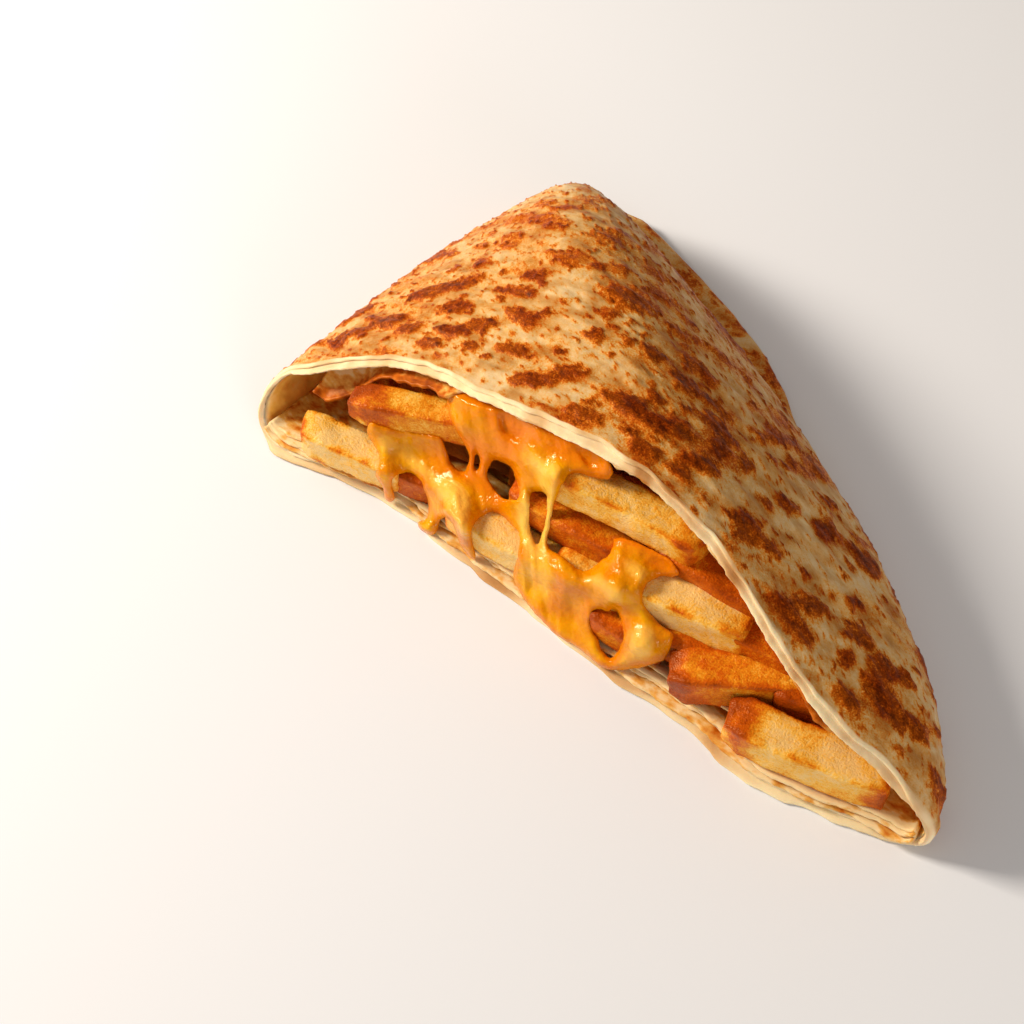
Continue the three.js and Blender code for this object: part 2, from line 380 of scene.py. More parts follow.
def inner_flatbread():
    """The same bread where it lay against the filling: pale and limp, with a thin fried, browned edge."""
    material, tree, surface, where = food_material(
        "inner_flatbread", Roughness=0.38, IOR=1.45, Specular_IOR_Level=0.25, Subsurface_Weight=0.1,
        Subsurface_Scale=0.002, Subsurface_Radius=BREAD_GLOW, Specular_Tint=linear("#ffcf96"),
    )
    fried = add(tree, "Attribute", out="Fac", attribute_name="fried")
    mottle = speckle(tree, where, 1.8, 3.0, (0.6, 1, 1))
    uneven = add(tree, "Math", {0: mottle, 1: 1.1, 2: -0.55}, operation="MULTIPLY_ADD")
    tone = add(tree, "Math", {0: fried, 1: uneven}, operation="ADD")
    brown = [(0.12, "#ecd0a0"), (0.30, "#dfa650"), (0.52, "#bf6212"), (0.85, "#863404")]
    colour = add(tree, "ValToRGB", {0: tone}, brown)
    tree.links.new(colour, surface.inputs["Base Color"])
    dented(tree, surface, (mottle, 0.4, 0.3))
    return material


def fried_potato():
    """Potato chips fried in oil.

    They have floury pale sides, crisp golden edges, browned ends and a thin oily shine.
    """
    material, tree, surface, where = food_material(
        "fried_potato", Roughness=0.25, IOR=1.28, Specular_IOR_Level=0.5, Subsurface_Weight=0.06,
        Subsurface_Scale=0.002, Subsurface_Radius=POTATO_GLOW, Specular_Tint=linear("#ffd9a0"),
    )
    fried = add(tree, "Attribute", out="Fac", attribute_name="fried")
    cheesy = add(tree, "Attribute", out="Fac", attribute_name="cheesy")
    mottle = speckle(tree, where, 1.5, 3.0)
    bubbles = speckle(tree, where, 0.45, 2.0)
    tone = fried
    for pattern in (mottle, bubbles):
        uneven = add(tree, "Math", {0: pattern, 1: 0.5, 2: -0.25}, operation="MULTIPLY_ADD")
        tone = add(tree, "Math", {0: tone, 1: uneven}, operation="ADD")
    golden = [(0.0, "#eac27a"), (0.18, "#edb448"), (0.34, "#e08c1a"), (0.58, "#c65a0a"), (0.95, "#983c06")]
    crust = add(tree, "ValToRGB", {0: tone}, golden)
    glaze = {0: cheesy, 6: crust, 7: linear("#b8650a")}
    glazed = add(tree, "Mix", glaze, **COLOURS)
    tree.links.new(glazed, surface.inputs["Base Color"])
    dented(tree, surface, (mottle, 0.45, 0.6), (bubbles, 0.7, 0.3))
    return material


def melted_cheddar():
    """Melted processed cheddar: smooth, glossy and oily, letting light some way in, so thin parts glow."""
    material, tree, surface, where = food_material(
        "melted_cheddar", Roughness=0.17, IOR=1.3, Specular_IOR_Level=0.5, Subsurface_Weight=0.25,
        Subsurface_Scale=0.003, Subsurface_Radius=CHEESE_GLOW, Specular_Tint=linear("#ffe3b0"),
        Coat_Weight=0.2, Coat_Roughness=0.05, Coat_IOR=1.35,
    )
    clouds = speckle(tree, where, 6.0, 2.0)
    yellow = [(0.32, "#d27a00"), (0.5, "#da8c00"), (0.66, "#e49e02")]
    colour = add(tree, "ValToRGB", {0: clouds}, yellow)
    # Amber tint where 'deep' is high, as painted shade in hollows and at edges; pale tint where it is low,
    # as painted light on bulges and as the pale colour of thin strings.
    deep = add(tree, "Attribute", out="Fac", attribute_name="deep")
    amber = add(tree, "MapRange", {0: deep, 1: 0.3, 2: 1.0, 4: 0.85})
    pale_thin_and_lit = add(tree, "MapRange", {0: deep, 1: 0.3, 2: 0.0, 4: 0.8})
    for share, tint in ((amber, "#d66c00"), (pale_thin_and_lit, "#f5c558")):
        colour = add(tree, "Mix", {0: share, 6: colour, 7: linear(tint)}, **COLOURS)
    tree.links.new(colour, surface.inputs["Base Color"])
    ripples = speckle(tree, where, 1.6, 3.0)
    dented(tree, surface, (ripples, 0.8, 0.5))
    return material


def pale_backdrop():
    """Smooth matt white board under the food."""
    material, _, surface, _ = food_material("pale_backdrop", Roughness=0.8)
    surface.inputs["Base Color"].default_value = linear("#e9eefa")
    return material


TOASTED = toasted_flatbread()
INNER = inner_flatbread()
POTATO = fried_potato()
CHEDDAR = melted_cheddar()


# ---------------------------------------------------------------- toasting pattern
# Blisters in mm: the cell each has to itself, how long and wide they are, and the share of cells with one.
SLENDER_BLISTERS = ((8.4, 6.0), (3.2, 1.9), 0.74)
ROUND_BLISTERS = ((9.0, 8.6), (3.1, 2.6), 0.66)
SMALL_BLISTERS = ((4.8, 3.8), (1.3, 0.9), 0.34)


def hashed(a, b, seed):
    """A fixed pseudo-random number from 0 to 1 for each pair of whole numbers."""
    wave = np.sin(a * 127.1 + b * 311.7 + seed * 74.7) * 43758.5453
    return wave - np.floor(wave)


def blister_field(x, y, cell, radii, share, slant, seed):
    """Ragged oval blisters, one in most cells of a jittered grid. Where they meet they run together."""
    column, row = np.floor(x / cell[0]), np.floor(y / cell[1])
    total = np.zeros_like(x)
    for i in (-1, 0, 1):
        for j in (-1, 0, 1):
            a, b = column + i, row + j
            at_x = (a + 0.5 * (b % 2) + 0.15 + 0.7 * hashed(a, b, seed)) * cell[0]
            at_y = (b + 0.15 + 0.7 * hashed(a, b, seed + 1)) * cell[1]
            grow = 0.6 + 0.8 * hashed(a, b, seed + 2)
            turn = slant + (hashed(a, b, seed + 3) - 0.5) * 0.7
            strength = np.where(hashed(a, b, seed + 4) < share, 0.75 + 0.5 * hashed(a, b, seed + 5), 0)
            dx, dy = x - at_x, y - at_y
            along = (dx * np.cos(turn) + dy * np.sin(turn)) / (radii[0] * grow)
            across = (dy * np.cos(turn) - dx * np.sin(turn)) / (radii[1] * grow)
            total += strength * np.exp(-(along**2) - across**2)
    return total


def across_top(points):
    """How far to the right each point lies, between lines that lean back towards the apex."""
    return points[:, 0] + 0.45 * points[:, 1]


def toasting(points, seed):
    """How toasted the outside is, in three parts: blisters, the blush between them, and fine flecks.

    Together 0 is bare dough, 0.3 golden, 0.6 brown and 1 nearly burnt. The blisters are slender and slanted
    on the left, and rounder and darker on the right.
    """
    warp_x = 1.2 * ruffle(points, 3.6, 2, seed) + 0.8 * ruffle(points, 1.4, 2, seed + 7)
    warp_y = 0.9 * ruffle(points, 2.8, 2, seed + 1) + 0.6 * ruffle(points, 1.4, 2, seed + 8)
    x, y = points[:, 0] + warp_x, points[:, 1] + warp_y
    rightwards = across_top(points)
    right = smoothstep(rightwards, 15, 50)
    slant = 0.38 * (1 - smoothstep(rightwards, -60, 40))
    slender = blister_field(x, y, *SLENDER_BLISTERS, slant, seed + 2)
    round_ones = blister_field(x, y, *ROUND_BLISTERS, 0, seed + 9)
    small_ones = blister_field(x, y, *SMALL_BLISTERS, slant, seed + 12)
    field = slender * (1 - right) + round_ones * right + 0.75 * small_ones + bump(rightwards, 10, 30, 0.11)
    spots = 0.17 * smoothstep(field, 0.14, 0.42) + 0.28 * smoothstep(field, 0.44, 0.56)
    spots += (0.12 + 0.12 * smoothstep(rightwards, -30, 40)) * smoothstep(field, 0.75, 1.4)
    blush = 0.04 + 0.03 * smoothstep(rightwards, -20, 40) + 0.14 * ruffle(points, (16, 9, 12), 2, seed + 3)
    flecks = np.clip(ruffle(points, (1.8, 1.0, 1.3), 2, seed + 5) - 0.2, 0, 1) * 0.7
    return spots, blush, flecks


# ---------------------------------------------------------------- outer wrap
# The lip at the cut is two layers with a groove between them: depth into the bread, and how far each point
# of the lip stands back from the cut on the upper and on the lower half.
LIP = [
    (2.0, 0.6, 1.2), (1.9, 0.0, 0.6), (1.65, -0.3, 0.3), (1.35, -0.2, 0.4), (1.12, 0.2, 0.8),
    (1.02, 0.9, 1.0), (0.95, 1.7, 0.6), (0.86, 1.7, -0.2), (0.65, 1.3, -0.7), (0.35, 1.2, -0.8),
    (0.12, 1.5, -0.5), (0.0, 2.0, 0.2),
]
UNDER_STEP, OVER_STEP = 1.8, 0.62  # mm between points around the section, below and on top
INSIDE_ROWS = 14  # rows of points on the inside, which is seen only near the cut
OUTSIDE_ROWS, APEX_ROWS = 150, 22  # the last rows lie closer and closer together, round the apex
APEX_SHARE = 0.04  # share of the depth that they take up
ALMOST_CLOSED = 0.999999  # the last row ends just short of the apex, where it would have no width


def wrap_shell():
    """The folded flatbread without its relief: the inside near the cut, the lip, and the outside."""
    angles, is_upper = around(UNDER_STEP, OVER_STEP)
    inside_v = np.linspace(0.30, 0.006, INSIDE_ROWS)
    closing = APEX_SHARE * np.linspace(0.92, 0, APEX_ROWS) ** 2
    outside_v = np.concatenate([np.linspace(0.024, 1 - APEX_SHARE, OUTSIDE_ROWS), 1 - closing])
    outside_v[-1] = ALMOST_CLOSED
    lip_depth, upper_lip, lower_lip = (np.array(part) for part in zip(*LIP))
    depth = np.concatenate([np.full(INSIDE_ROWS, WRAP), lip_depth, np.zeros(len(outside_v))])
    upper_v = np.concatenate([inside_v, upper_lip / DEPTH, outside_v])
    lower_v = np.concatenate([inside_v, lower_lip / DEPTH, outside_v])
    mesh, column, row = grid(len(angles) - 1, len(depth) - 1)
    is_upper, deep = is_upper[column], depth[row]
    v = np.where(is_upper, upper_v[row], lower_v[row])
    is_inside = row < INSIDE_ROWS
    to_lip_end = row < INSIDE_ROWS + len(LIP)
    at_fold = smoothstep(np.abs(np.cos(angles[column])), 0.9, 0.975)
    rounded = 1.1 * (deep - WRAP / 2) ** 2 / DEPTH
    v = np.where(to_lip_end & ~is_inside, v + (rounded - v) * at_fold, v)
    move_to(mesh, outline(angles[column], is_upper, deep, v))
    along_lip = np.stack([column * OVER_STEP / 9, deep * 0.9 + 0.1 * row, 0 * v], axis=-1)
    paint(mesh, "share", v)
    paint(mesh, "upper", is_upper * 1.0)
    paint(mesh, "skin", (deep < 1.0) * 1.0)
    paint(mesh, "inner", is_inside * smoothstep(v, 0.002, 0.03))
    paint(mesh, "cut", to_lip_end * 1.0)
    paint(mesh, "layers", 0.6 + 0.55 * ruffle(along_lip, 1, 3, 14))
    return tidy_mesh(mesh)


def outer_wrap():
    """The folded flatbread, toasted and blistered outside, with a torn lip at the cut."""
    mesh = wrap_shell()
    points, outward = positions(mesh), normals(mesh)
    v, outside, skin = painted(mesh, "share"), 1 - painted(mesh, "cut"), painted(mesh, "skin")
    on_top = painted(mesh, "upper") > 0.5
    spots_top, blush, flecks = toasting(points, 3)
    spots_under = toasting(points + (0, 400, 0), 5)[0]
    spots = np.where(on_top, spots_top, spots_under)
    from_lip = smoothstep(v * DEPTH, 2.0, 10.0)
    left_slope = smoothstep(-points[:, 0] - 0.3 * points[:, 1], 20, 70)
    near_apex = smoothstep(points[:, 1], 34, 66)
    # Darker across the middle of the top: partly denser toasting, partly painted shade where the middle
    # lies less lit.
    mid_toast_and_shade = bump(across_top(points), 10, 32, 1.0)
    lighter = (1 - 0.55 * near_apex) * (1 - 0.12 * left_slope)
    toast = spots * (0.25 + 0.75 * from_lip) * lighter + blush + 0.08 * left_slope + 0.07 * mid_toast_and_shade + flecks
    toast = np.clip(toast, 0, 1.15) * outside
    paint(mesh, "toast", toast)
    creases = ruffle(points, (26, 5.0, 9), 3, 1)
    wrinkles = ruffle(points, (9, 2.2, 4), 2, 2)
    grit = 0.18 * ruffle(points, 1.1, 2, 4) * smoothstep(toast, 0.2, 0.5)
    lift = 0.5 * creases + 0.34 * wrinkles + 0.16 * ruffle(points, 2.4, 2, 14)
    lift += 0.40 * smoothstep(toast, 0.22, 0.55) + grit
    calm = smoothstep(v, 0.0, 0.05) * (1 - smoothstep(v, 0.96, 1.0)) * np.where(on_top, 1, 0.35)
    points += outward * (lift * outside * calm)[:, None]
    tear = ruffle(points, 13, 2, 7) * 0.9 + ruffle(points, 2.6, 2, 8) * 0.12
    tear += skin * 0.7 * ruffle(points, 7, 2, 9) + (1 - skin) * 0.3 * ruffle(points, 1.3, 2, 10)
    points[:, 1] += tear * (1 - smoothstep(v, 0.018, 0.045))
    move_to(mesh, points)
    return mesh


# The lower leaf of the fold slides out from under the upper one beside the apex.
LEAF_FROM, LEAF_FULL = 0.6, 0.82  # shares of the depth where it starts to show, and shows in full
LEAF_OUT = (4.0, 8.0)  # how far it is out there, in x and in y
LEAF_TUCK = 0.5  # how far it starts inside the wrap
# Its section: how far inwards from its edge, and how high.
LEAF_SECTION = [(24, 4.4), (15, 4.4), (8, 4.3), (4, 4.1), (2, 3.9), (0.8, 3.5), (0.2, 3.0), (0, 2.5)]
LEAF_SECTION += [(0.3, 1.8), (1.0, 1.3), (2.5, 1.1), (7, 1.0), (14, 1.0)]
LEAF_COLUMNS, LEAF_ROWS = 120, 40
LEAF_TIP = 0.2  # share of its length that turns round the apex


def lower_leaf():
    """The strip of the lower leaf beside the apex, with its rounded fold."""
    inward, height = (np.array(side) for side in zip(*LEAF_SECTION))
    fine = np.linspace(0, len(inward) - 1, LEAF_ROWS)
    inward = np.interp(fine, np.arange(len(inward)), inward)
    height = np.interp(fine, np.arange(len(height)), height)
    mesh, column, row = grid(LEAF_COLUMNS, LEAF_ROWS - 1)
    s = column / LEAF_COLUMNS
    beside = s < 1 - LEAF_TIP
    round_tip = (s - (1 - LEAF_TIP)) / LEAF_TIP
    v = np.where(beside, 0.55 + 0.53 * s, 0.974 + 0.014 * np.sin(round_tip * math.pi / 2))
    x = np.where(beside, HALF, HALF - 1.6 * HALF * round_tip)
    edge = loft(x, np.zeros(len(s)), v)
    out = smoothstep(v, LEAF_FROM, LEAF_FULL)
    edge[:, 0] += LEAF_OUT[0] * out - LEAF_TUCK
    edge[:, 1] += LEAF_OUT[1] * out - LEAF_TUCK
    towards = loft(np.array(-HALF / 2), np.array(0.0), np.array(LEAF_FROM)) - edge
    towards[:, 2] = 0
    far = np.linalg.norm(towards, axis=1, keepdims=True)
    points = edge + towards / far * np.minimum(inward[row], far[:, 0] - 1)[:, None]
    points[:, 2] = height[row]
    move_to(mesh, points)
    tidy_mesh(mesh)
    points, outward = positions(mesh), normals(mesh)
    spots, blush, flecks = toasting(points + (0, 60, 0), 6)
    # Faint spots: the leaf is partly its own paler cream, and partly painted light for the light it catches
    # beside the apex.
    toast = np.clip(0.45 * spots + blush + 0.04 + flecks, 0, 1.1)
    ripple = 0.35 * ruffle(points, (14, 6, 9), 2, 61) + 0.3 * smoothstep(toast, 0.3, 0.75)
    points += outward * ripple[:, None] * np.clip(points[:, 2:] / 2, 0, 1)
    move_to(mesh, points)
    paint(mesh, "toast", toast)
    for name in ("inner", "cut", "layers"):
        paint(mesh, name, np.zeros(len(points)))
    return mesh


# ---------------------------------------------------------------- chips
# Centre, length and thickness, yaw and pitch in degrees, how fried, and how browned the two ends.
# The chips set back in the gaps and holes are the browner ones: partly browned chips, partly painted shade
# for those gaps.
CHIPS = [
    ((-48.7, 12.2, 25.8), (38, 7.8), 20, 4, 0.33, 1.2, 0.2),
    ((-65.5, 1.9, 9.9), (27, 8.4), 9, 0, 0.03, 0.15, 0.2),
    ((-18, 3, 11.2), (35, 8.2), 3, 0, 0.05, 0.2, 0.2),
    ((-5, 10.8, 20.5), (35, 8.6), 3, 0, 0.55, 0.3, 0.3),
    ((6.6, 15.3, 31.4), (36, 8.6), 6, -4, 0.12, 0.2, 0.5),
    ((24.6, 8.4, 19.2), (33, 9.4), 10, 0, 0.06, 0.2, 0.25),
    ((4.5, 4.6, 13.6), (21, 8.5), 7, 2, 0.15, 0.3, 0.3),
    ((44.5, 5.0, 12), (33, 9.6), 29, 4, 0.40, 1.1, 0.3),
    ((64.2, -0.7, 9.4), (37, 9.8), 12, -1, 0.12, 0.9, 0.6),
    ((28.2, 16.2, 23), (30, 8.6), 4, -4, 0.62, 0.4, 0.5),
    ((42.5, 11.5, 17.3), (22, 8.6), 6, -3, 0.60, 0.5, 0.5),
    ((63, 10, 12.5), (25, 8.6), 14, -3, 0.65, 0.5, 0.5),
    ((16.5, 1.6, 9.2), (19, 8.5), 5, 0, 0.45, 0.6, 0.4),
    ((31.5, 5.5, 11.5), (22, 8.6), 8, 0, 0.60, 0.5, 0.5),
    ((-46.5, 6.5, 8.2), (15, 7.5), 14, 0, 0.6, 0.3, 0.3),
]
# Chips further in, seen only through the gaps.
HIDDEN_CHIPS = 16
HIDDEN_FROM, HIDDEN_SPAN = -66, 112  # where they lie along the cut
# These are dark: partly browned chips, partly painted shade for the gaps they are seen through.
HIDDEN_BROWN_AND_SHADE = (0.60, 0.5, 0.5)  # how fried they are, and how browned their ends


def chip_block():
    """A unit cube of quads, cut finer along x than across it."""
    bm = bmesh.new()
    bmesh.ops.create_cube(bm, size=1.0)
    bmesh.ops.subdivide_edges(bm, edges=bm.edges, cuts=9, use_grid_fill=True)
    lengthways = [e for e in bm.edges if abs((e.verts[0].co - e.verts[1].co).x) > 0.05]
    bmesh.ops.subdivide_edges(bm, edges=lengthways, cuts=3, use_grid_fill=True)
    return mesh_of(bm, "chip")


def chip(at, size, yaw, pitch, tone, left_end, right_end, seed):
    """One chip: a lumpy bar with worn edges, a little bent, twisted and tapered, browner at its ends."""
    length, thickness = size
    rng = random.Random(seed)
    mesh = chip_block()
    box = np.array([length, thickness, thickness])
    points = positions(mesh) * box
    radius = rng.uniform(0.07, 0.12) * thickness
    core = np.clip(points, -box / 2 + radius, box / 2 - radius)
    outward = points - core
    reach = np.linalg.norm(outward, axis=1, keepdims=True)
    points = core + outward / np.maximum(reach, 1e-6) * radius
    edge = np.clip((np.sort(np.abs(outward), axis=1)[:, 1]) / (0.6 * radius), 0, 1)
    from_edge = np.sort(box / 2 - np.abs(points), axis=1)[:, 1]
    golden = 1 - smoothstep(from_edge, 0.2, 2.2)

    along = points[:, 0] / length
    bend = rng.uniform(-0.9, 0.9)
    twist = rng.uniform(-0.10, 0.10)
    taper = rng.uniform(-0.10, 0.10)
    slant = rng.uniform(-0.35, 0.35)
    shrunk = (0.10 + 0.14 * left_end * (along < 0)) * smoothstep(np.abs(along), 0.36, 0.5)
    wide = (1 + taper * along) * (1 - shrunk)
    waist = 1 - 0.035 * (1 - (2 * points[:, 2] / thickness) ** 2)
    y, z = points[:, 1] * wide, points[:, 2] * wide
    y *= waist
    turned = twist * along
    points[:, 1] = y * np.cos(turned) - z * np.sin(turned) + bend * (4 * along**2 - 0.3)
    points[:, 2] = y * np.sin(turned) + z * np.cos(turned)
    points[:, 0] += slant * y * np.abs(2 * along) ** 3
    move_to(mesh, points)

    outward = normals(mesh)
    lumps = 0.5 * ruffle(points, (9, 5, 5), 2, seed)
    lumps += 0.2 * ruffle(points, 1.3, 3, seed + 40) * (0.5 + edge)
    points += outward * lumps[:, None]
    ends = left_end * smoothstep(-along, 0.18, 0.5) + right_end * smoothstep(along, 0.25, 0.5)
    patchy = ruffle(points, 6, 3, seed + 80)
    fried = tone + (0.12 * edge + 0.2 * golden) * (0.8 + 1.2 * patchy)
    fried += 0.55 * ends * (0.9 + patchy) + 0.16 * patchy
    # Undersides are browner: painted shade, for the warm shade under the chips.
    fried += 0.12 * smoothstep(-outward[:, 2], 0.3, 0.9)
    paint(mesh, "fried", np.clip(fried, 0, 1))
    turn = Euler((0, -math.radians(pitch), math.radians(yaw)), "XYZ").to_matrix()
    move_to(mesh, points @ np.array(turn).T + at)
    return mesh


def chips():
    """The chips that show and those glimpsed behind them; where cheese lies on them they are glazed."""
    sticks = [chip(*spec, seed=11 + number) for number, spec in enumerate(CHIPS)]
    rng = random.Random(4)
    for number in range(HIDDEN_CHIPS):
        x = HIDDEN_FROM + HIDDEN_SPAN * (number + rng.random()) / HIDDEN_CHIPS
        height = float(arch_height(np.array([x]))[0])
        z = 9 + max(height * 0.72 - 17, 0) * rng.random()
        y = 21 + 6 * rng.random()
        lying = (rng.uniform(26, 40), 9.5), rng.uniform(-25, 25), rng.uniform(-6, 6)
        sticks.append(chip((x, y, z), *lying, *HIDDEN_BROWN_AND_SHADE, seed=60 + number))
    mesh = join_meshes(sticks, "chips")
    points = positions(mesh)
    near_cheese = smoothstep(cheese_depth_of_edge(*seen_on_cut(points)), -6.0, -1.0)
    behind = points[:, 1] - cut_face(points[:, 0], points[:, 2])
    paint(mesh, "cheesy", near_cheese * smoothstep(behind, 2.5, 6.0))
    return mesh


CORE_FROM, CORE_TO = 0.24, 0.78  # shares of the depth where the mass of chips starts and ends
CORE_WALL = 4.6  # how far its side lies inside the wrap's outside
CORE_FRONT, CORE_SIDE, CORE_END = 5, 14, 3  # rows over its front, along its side and over its end


def chip_core():
    """The mass of chips behind those that show: lumpy, and only seen in the dark between them."""
    angles, is_upper = around(4.0, 4.0)
    along_side = np.linspace(CORE_FROM, CORE_TO, CORE_SIDE)
    share = np.concatenate([np.full(CORE_FRONT, CORE_FROM), along_side, np.full(CORE_END, CORE_TO)])
    opening, closing = np.linspace(0, 1, CORE_FRONT), np.linspace(0.6, 0, CORE_END)
    shrink = np.concatenate([opening, np.ones(CORE_SIDE), closing])
    mesh, column, row = grid(len(angles) - 1, len(share) - 1)
    points = outline(angles[column], is_upper[column], CORE_WALL, share[row])
    middle = outline(np.full(len(row), math.pi / 2), np.ones(len(row), bool), 20.0, share[row])
    middle[:, 2] *= 0.6
    move_to(mesh, middle + (points - middle) * shrink[row][:, None])
    tidy_mesh(mesh, 0.05)
    points = positions(mesh)
    points += normals(mesh) * (ruffle(points, 7, 2, 3) * 1.2 - 0.6)[:, None]
    move_to(mesh, points)
    # Brown all over: partly browned chips, partly painted shade for the dark between the chips in front.
    paint(mesh, "fried", np.full(len(points), 0.6))
    paint(mesh, "cheesy", smoothstep(points[:, 0], -60, -50) * (1 - smoothstep(points[:, 0], 20, 40)))
    return mesh


# ---------------------------------------------------------------- melted cheese
# The cheese is a soft blanket, laid over the chips from in front, from the right and from above. Its edge
# and its holes are drawn on the cut: each corner is (x, z), and a smooth curve runs through them.
LAID_FROM = np.array([0.371, -0.430, 0.823])
CHEESE_EDGE = [
    # down the left of the neck from under the top, round the recess beside it, along the upper left chip
    (-44, 39), (-43.5, 34), (-42, 31.5), (-38.5, 29), (-35, 27), (-34, 24), (-35, 21), (-38.5, 21),
    (-41, 23.5), (-43.5, 25), (-49, 22), (-55, 19), (-59.5, 17.5), (-63, 16.5),
    # over the lower left chip, round the hollow below it, and two drips over the bottom edge
    (-63.5, 14), (-62, 12.5), (-59.5, 10.5), (-58, 8), (-58.5, 5), (-56, 3), (-55, 0.5), (-53, 0.5),
    (-52, 2.5), (-53.5, 4.5), (-53.5, 7), (-51.5, 9.5), (-49, 11), (-46, 11), (-44.5, 9.5), (-43, 7.5),
    (-42, 5.5), (-42.5, 2.5), (-44.5, 0.5), (-43.5, -1.5), (-40, -0.5), (-38, 2.5), (-38, 5.5),
    (-35.5, 7.5), (-33.5, 6.5), (-31, 3.5), (-27.5, 2), (-25.5, 3),
    # up and over the third chip
    (-27.5, 6), (-28.5, 9), (-28, 12), (-26.5, 14), (-25, 16), (-22.5, 16.5), (-19, 16), (-16.5, 15),
    # the foot below the strings, along the bottom edge
    (-15.5, 10.5), (-15, 5.5), (-12.5, 3), (-8, 1), (-3.5, 0.5), (0.5, 0), (7.5, 1), (13.5, 0.5), (17, 1.5),
    (21, 4), (24.5, 7), (27, 10), (27, 13),
    # round the end of the chip on the right, and along under the long one
    (26.5, 15.5), (23, 15.8), (19.5, 16.5), (17, 17.5), (16, 19.5), (17, 22.5), (19.5, 25.5),
    (22.5, 27.5), (24, 29.8), (21.5, 31.3), (18.5, 31.3), (16.5, 31), (13.5, 30.8), (10.5, 30.2), (8, 29.3),
    # round the recess beside the strings
    (6.5, 28), (6.5, 26), (6, 23.5), (4.5, 20.5), (3, 18), (1.5, 16.5), (-1, 16), (-4, 16.5),
    (-6.5, 16.5), (-8.5, 16.5), (-9.5, 19), (-9.8, 23), (-9.8, 27), (-9.5, 30),
    # over the left end of the long chip, behind it, and back under the top
    (-9, 33.5), (-8, 36.5), (-5.5, 38.5), (-1.5, 39.8), (1.2, 41), (2.6, 43), (1.5, 45.5), (-2, 48),
    (-7, 48), (-20, 48), (-27, 47), (-34.5, 44.5), (-40, 42),
]
CHEESE_HOLES = [
    # the dark hole left of the strings, a slit beside it, the gap between the strings, the hole in the foot
    [(-28, 27.5), (-26.5, 29.5), (-23, 30), (-21, 28), (-19, 24), (-20.5, 22), (-23, 21), (-25.5, 22),
     (-28.2, 24)],
    [(-32.5, 28), (-31.2, 27), (-31.2, 24), (-32.2, 24)],
    [(-16, 26), (-14.5, 28), (-12.5, 28.5), (-11.6, 26), (-11.1, 22), (-11.1, 18), (-11.3, 15.5),
     (-13, 16.5), (-15, 19.5)],
    [(6.5, 9), (8, 11), (10, 11.5), (11.5, 13), (13.5, 12), (15.5, 9.5), (16, 6), (15, 3.5), (12.5, 4),
     (10.5, 5.5), (8, 6.5)],
]
# Swellings and hollows: place on the cut, reach along and up, and how far they stand out.
CHEESE_BULGES = [
    ((-38.5, 35.5), (5, 7), 1.8), ((-30, 36), (6, 6), 1.2), ((-17.5, 35), (5, 5.5), 3.0),
    ((-11, 36), (3, 3), 1.2), ((-58, 13.5), (4, 3.5), 1.8), ((-50, 15), (5, 4), 1.6),
    ((-43, 14.5), (6, 4), 1.4), ((-35.6, 14), (5.5, 5), 3.0), ((-41.5, 1.5), (2.5, 3), 1.6),
    ((-31, 7.5), (3.5, 4), 1.8), ((-1.6, 11), (3, 5), 1.0), ((4.2, 16), (5, 3), 2.0),
    ((13.5, 23.5), (6, 4), 2.0), ((19.5, 29), (6, 3), -1.2), ((10.5, 15.5), (3, 2.5), 1.6),
    ((20, 10.5), (3.6, 4), 3.2), ((18, 4), (4, 3), 1.4), ((-9.5, 6.5), (2, 2), -1.6),
    ((-24, 40.5), (3.5, 3), -5.0), ((-4, 44.5), (3, 2), -4.0), ((-19, 20), (3, 3), -1.0),
]
STRINGS = (-13, 22), (5, 8)  # the thin, pale strings: place on the cut, and reach along and up
FOOT = (-6, 9), (7, 7)  # the foot that they run down into
CHEESE_CELL = 0.38  # mm between the points of its surface
EDGE_ROUND = 2.2  # how far in from its edge the cheese reaches its full thickness
CHEESE_THICKNESS = 1.8
THINNEST = 0.3
DEEPEST = 4.5  # how far behind the cut it sinks between chips
LINE = 60.0  # how far out the lines start that feel for what the cheese lies on
BLUNT = 8  # rounds of blunting the corners of its outline
STRETCH, SOFTEN = 110, 14  # rounds of pulling it taut over the gaps, and of rounding it off

# The grid over the cut on which the cheese is worked out.
FIELD_X = np.arange(-68, 34, CHEESE_CELL)
FIELD_Z = np.arange(-4, 47, CHEESE_CELL)


def smooth_loop(corners, steps=6):
    """Points along a closed smooth curve through the corners."""
    a, b, c, d = (np.roll(np.array(corners, float), shift, axis=0)[:, None] for shift in (1, 0, -1, -2))
    t = (np.arange(steps) / steps)[None, :, None]
    curve = 2 * b + (c - a) * t + (2 * a - 5 * b + 4 * c - d) * t**2 + (3 * b - a - 3 * c + d) * t**3
    return (curve / 2).reshape(-1, 2)


def inside_distance(places, loop):
    """Distance from each place to a closed curve; positive inside it."""
    start, end = loop[None], np.roll(loop, -1, axis=0)[None]
    along = end - start
    rise = np.where(along[..., 1] == 0, 1e-9, along[..., 1])
    distance = []
    for here in np.array_split(places[:, None], max(len(places) // 1500, 1)):
        share = np.clip(((here - start) * along).sum(-1) / np.maximum((along**2).sum(-1), 1e-9), 0, 1)
        away = np.linalg.norm(here - start - share[..., None] * along, axis=-1).min(axis=1)
        between = (start[..., 1] > here[..., 1]) != (end[..., 1] > here[..., 1])
        left_of = here[..., 0] < start[..., 0] + (here[..., 1] - start[..., 1]) * along[..., 0] / rise
        distance.append(np.where((between & left_of).sum(axis=1) % 2, away, -away))
    return np.concatenate(distance)


